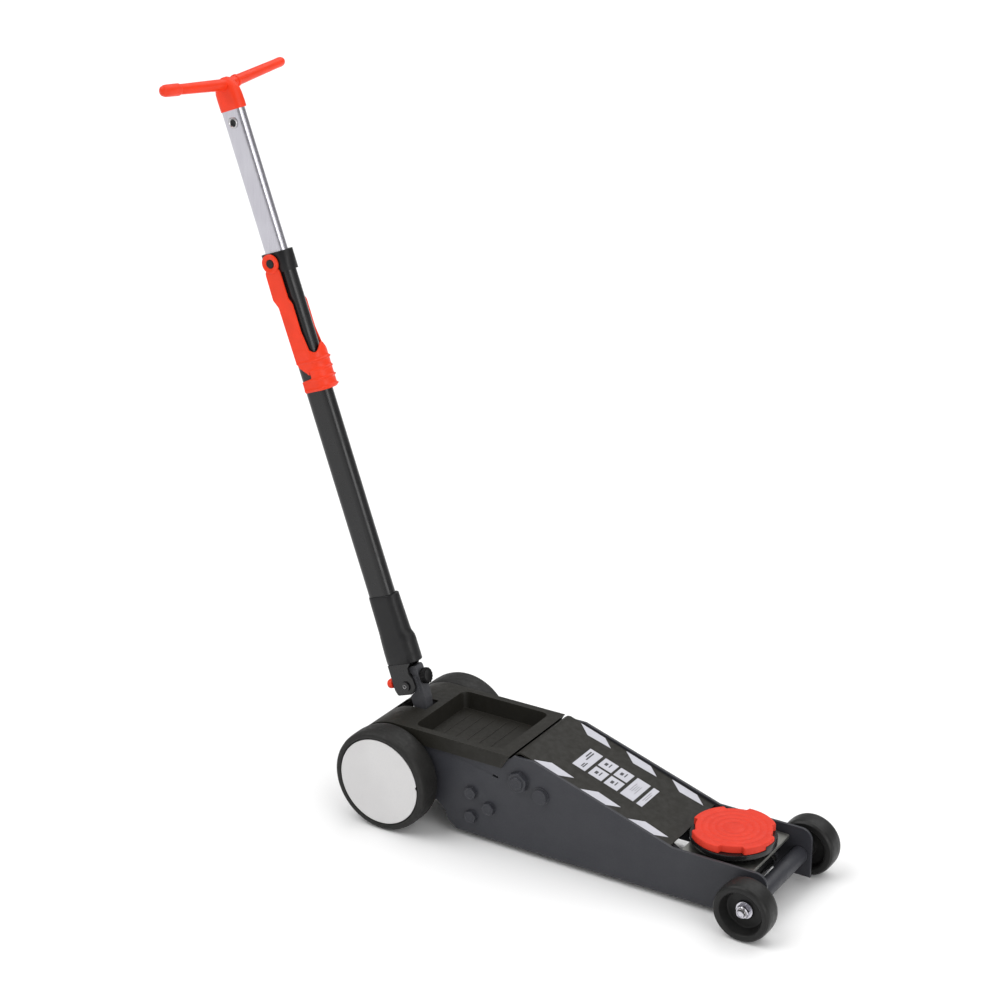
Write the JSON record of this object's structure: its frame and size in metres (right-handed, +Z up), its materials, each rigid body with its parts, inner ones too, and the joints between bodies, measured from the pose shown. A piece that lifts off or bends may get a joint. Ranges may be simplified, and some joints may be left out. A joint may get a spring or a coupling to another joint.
{
  "type": "trolley jack",
  "caption": "Low hydraulic trolley jack with a levelled lift arm, padded saddle, tool tray and a telescopic T-handle that pumps, folds and releases.",
  "frame": {"origin": "centre of the overall box, on the floor", "axes": "+X forward from handle to saddle, +Y to the jack's left, +Z up"},
  "size_m": [0.9545, 0.2722, 1.0475],
  "materials": {
    "frame_paint": "satin",
    "cover_plastic": "textured",
    "black_plastic": "satin",
    "black_metal": "satin",
    "grey_steel": "painted grey",
    "plated_steel": "zinc plated",
    "tube_chrome": "polished",
    "red_plastic": "satin",
    "pad_rubber": "matt",
    "tyre_plastic": "matt",
    "hub_plastic": "satin",
    "light_marking": "printed film"
  },
  "bodies": {
    "chassis": {"right_side_plate": "frame_paint", "left_side_plate": "frame_paint", "front_cross_tube": "frame_paint", "front_axle": "plated_steel", "rear_axle": "plated_steel", "yoke_shaft": "plated_steel", "pivot_shaft": "plated_steel", "cover_hinge_rod": "plated_steel", "rear_axle_clips": "plated_steel", "axle_spacers": "plated_steel", "block_bolts": "frame_paint", "pivot_bolts": "frame_paint", "front_axle_nuts": "plated_steel", "link_studs": "frame_paint", "pump_block": "black_metal", "gland_nut": "black_metal", "reservoir": "black_metal", "ram_cylinder": "plated_steel", "plunger_barrel": "plated_steel", "rear_cover": "cover_plastic"},
    "plunger": {"pump_plunger": "plated_steel"},
    "ram": {"ram": "plated_steel"},
    "lift_arm": {"right_arm_plate": "frame_paint", "left_arm_plate": "frame_paint", "arm_hub": "frame_paint", "arm_cross_plates": "frame_paint", "cover_rest_pads": "black_plastic", "crank_cheeks": "frame_paint", "crank_pin": "plated_steel", "carrier_pin": "plated_steel"},
    "level_links": {"right_level_link": "frame_paint", "left_level_link": "frame_paint"},
    "saddle_carrier": {"carrier_block": "black_metal", "carrier_plate": "plated_steel", "link_pin": "plated_steel"},
    "saddle": {"saddle_dish": "black_metal", "saddle_pad": "pad_rubber"},
    "cover": {"lift_cover": "cover_plastic", "cover_markings": "light_marking"},
    "yoke": {"pump_yoke": "grey_steel"},
    "knob": {"release_knob": "black_plastic"},
    "handle": {"handle_base": "black_metal", "fold_bolt": "black_metal", "handle_sleeve": "black_plastic", "outer_tube": "black_metal", "tube_collar": "black_plastic"},
    "button": {"fold_button": "red_plastic"},
    "lever": {"release_lever": "red_plastic"},
    "t_handle": {"inner_tube": "tube_chrome", "t_grip": "red_plastic", "grip_screw": "plated_steel"},
    "right_rear_wheel": {"right_rear_tyre": "tyre_plastic", "right_rear_rim": "black_metal", "right_rear_cap": "hub_plastic"},
    "left_rear_wheel": {"left_rear_tyre": "tyre_plastic", "left_rear_rim": "black_metal", "left_rear_cap": "hub_plastic"},
    "right_front_wheel": {"right_front_wheel": "black_metal"},
    "left_front_wheel": {"left_front_wheel": "black_metal"}
  },
  "joints": [
    {"name": "arm_lift", "type": "hinge", "parent": "chassis", "child": "lift_arm", "pos_m": [0.0676, 0, 0.115], "axis": [0, -1, 0], "range_deg": [0, 68]},
    {"name": "ram_stroke", "type": "slide", "parent": "chassis", "child": "ram", "axis": [1, 0, 0], "range_m": [0, 0.064]},
    {"name": "links_swing", "type": "hinge", "parent": "chassis", "child": "level_links", "pos_m": [0.1036, 0, 0.102], "axis": [0, -1, 0], "range_deg": [0, 68]},
    {"name": "carrier_level", "type": "hinge", "parent": "lift_arm", "child": "saddle_carrier", "pos_m": [0.3669, 0, 0.048], "axis": [0, -1, 0], "range_deg": [-68, 0]},
    {"name": "saddle_turn", "type": "hinge", "parent": "saddle_carrier", "child": "saddle", "pos_m": [0.3669, 0, 0.078], "axis": [0, 0, 1], "continuous": true},
    {"name": "cover_rise", "type": "hinge", "parent": "chassis", "child": "cover", "pos_m": [0.0676, 0, 0.147], "axis": [0, -1, 0], "range_deg": [0, 70.6]},
    {"name": "pump_stroke", "type": "hinge", "parent": "chassis", "child": "yoke", "pos_m": [-0.1344, 0, 0.12], "axis": [0, -1, 0], "range_deg": [-4, 25]},
    {"name": "plunger_stroke", "type": "slide", "parent": "chassis", "child": "plunger", "axis": [1, 0, 0], "range_m": [-0.0018, 0.0071]},
    {"name": "handle_fold", "type": "hinge", "parent": "yoke", "child": "handle", "pos_m": [-0.1619, 0, 0.1795], "axis": [0, -1, 0], "range_deg": [0, 28]},
    {"name": "button_press", "type": "slide", "parent": "handle", "child": "button", "axis": [0.9446, 0, 0.3282], "range_m": [0, 0.004], "stiffness_N_per_m": 1500, "springref_m": -0.001},
    {"name": "release_turn", "type": "hinge", "parent": "yoke", "child": "knob", "pos_m": [-0.13652, 0, 0.19785], "axis": [0.9446, 0, 0.3282], "continuous": true},
    {"name": "tube_slide", "type": "slide", "parent": "handle", "child": "t_handle", "axis": [-0.3282, 0, 0.9446], "range_m": [-0.175, 0]},
    {"name": "lever_squeeze", "type": "hinge", "parent": "handle", "child": "lever", "pos_m": [-0.37983, 0, 0.78449], "axis": [0, -1, 0], "range_deg": [0, 20], "stiffness_Nm_per_rad": 1.5, "springref_deg": -5.73},
    {"name": "right_rear_roll", "type": "hinge", "parent": "chassis", "child": "right_rear_wheel", "pos_m": [-0.1394, 0, 0.077], "axis": [0, 1, 0], "continuous": true},
    {"name": "left_rear_roll", "type": "hinge", "parent": "chassis", "child": "left_rear_wheel", "pos_m": [-0.1394, 0, 0.077], "axis": [0, 1, 0], "continuous": true},
    {"name": "right_front_roll", "type": "hinge", "parent": "chassis", "child": "right_front_wheel", "pos_m": [0.4356, 0, 0.042], "axis": [0, 1, 0], "continuous": true},
    {"name": "left_front_roll", "type": "hinge", "parent": "chassis", "child": "left_front_wheel", "pos_m": [0.4356, 0, 0.042], "axis": [0, 1, 0], "continuous": true}
  ],
  "couplings": [
    {"joint": "ram_stroke", "follows": "arm_lift", "m_per_rad": 0.0533},
    {"joint": "links_swing", "follows": "arm_lift", "ratio": 1},
    {"joint": "carrier_level", "follows": "arm_lift", "ratio": -1},
    {"joint": "cover_rise", "follows": "arm_lift", "ratio": 1.038},
    {"joint": "plunger_stroke", "follows": "pump_stroke", "m_per_rad": 0.016}
  ]
}
